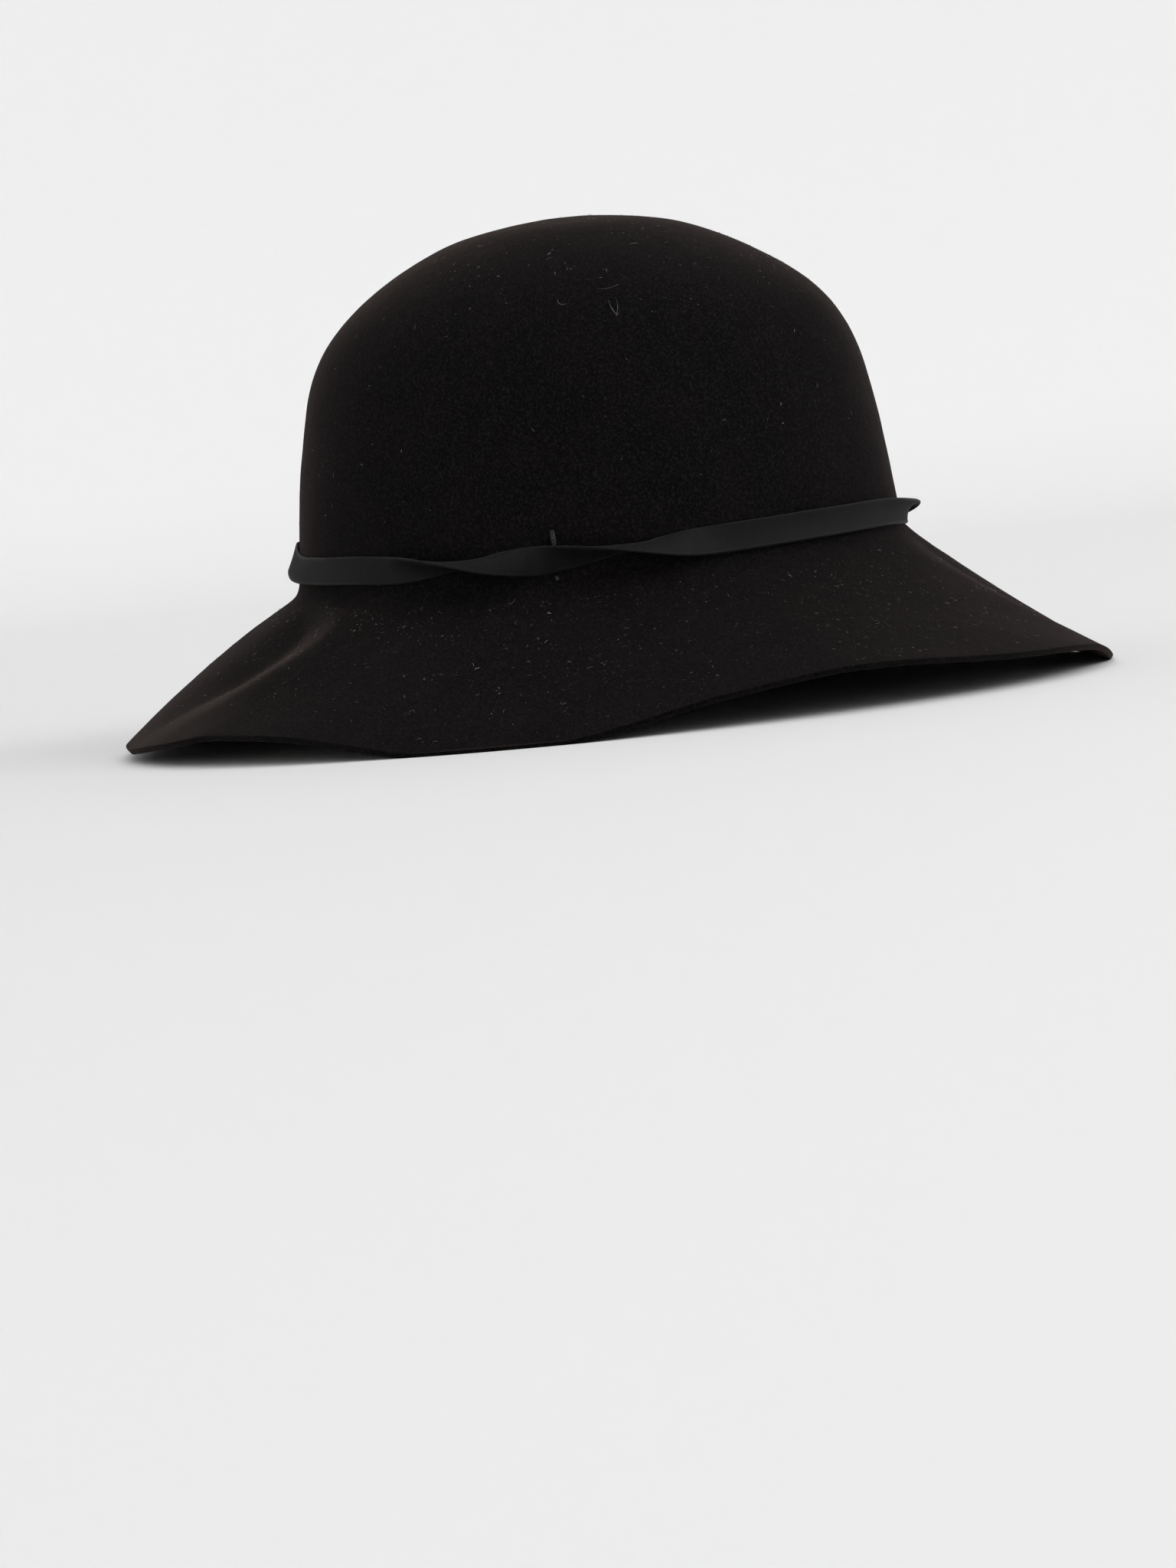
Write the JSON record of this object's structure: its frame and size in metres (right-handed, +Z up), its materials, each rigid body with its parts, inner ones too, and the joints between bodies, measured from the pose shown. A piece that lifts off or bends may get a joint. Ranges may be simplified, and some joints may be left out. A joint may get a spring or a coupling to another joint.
{
  "type": "cloche hat",
  "caption": "Soft black wool felt cloche hat: a round crown, a wide drooping wavy brim and a narrow twisted ribbon round the foot of the crown. It rests on its brim.",
  "frame": {"origin": "on the surface that the brim rests on, under the middle of the hat's bounding box", "axes": "+Z up through the crown, -Y towards the front of the hat, +X towards the wearer's left"},
  "size_m": [0.2934, 0.331, 0.162],
  "materials": {
    "felt": "matte black wool felt with a short nap and a little pale lint",
    "ribbon": "black grosgrain with fine cross ribs and a dull sheen"
  },
  "bodies": {
    "root": {"felt_body": "felt", "ribbon_band": "ribbon"}
  },
  "joints": []
}
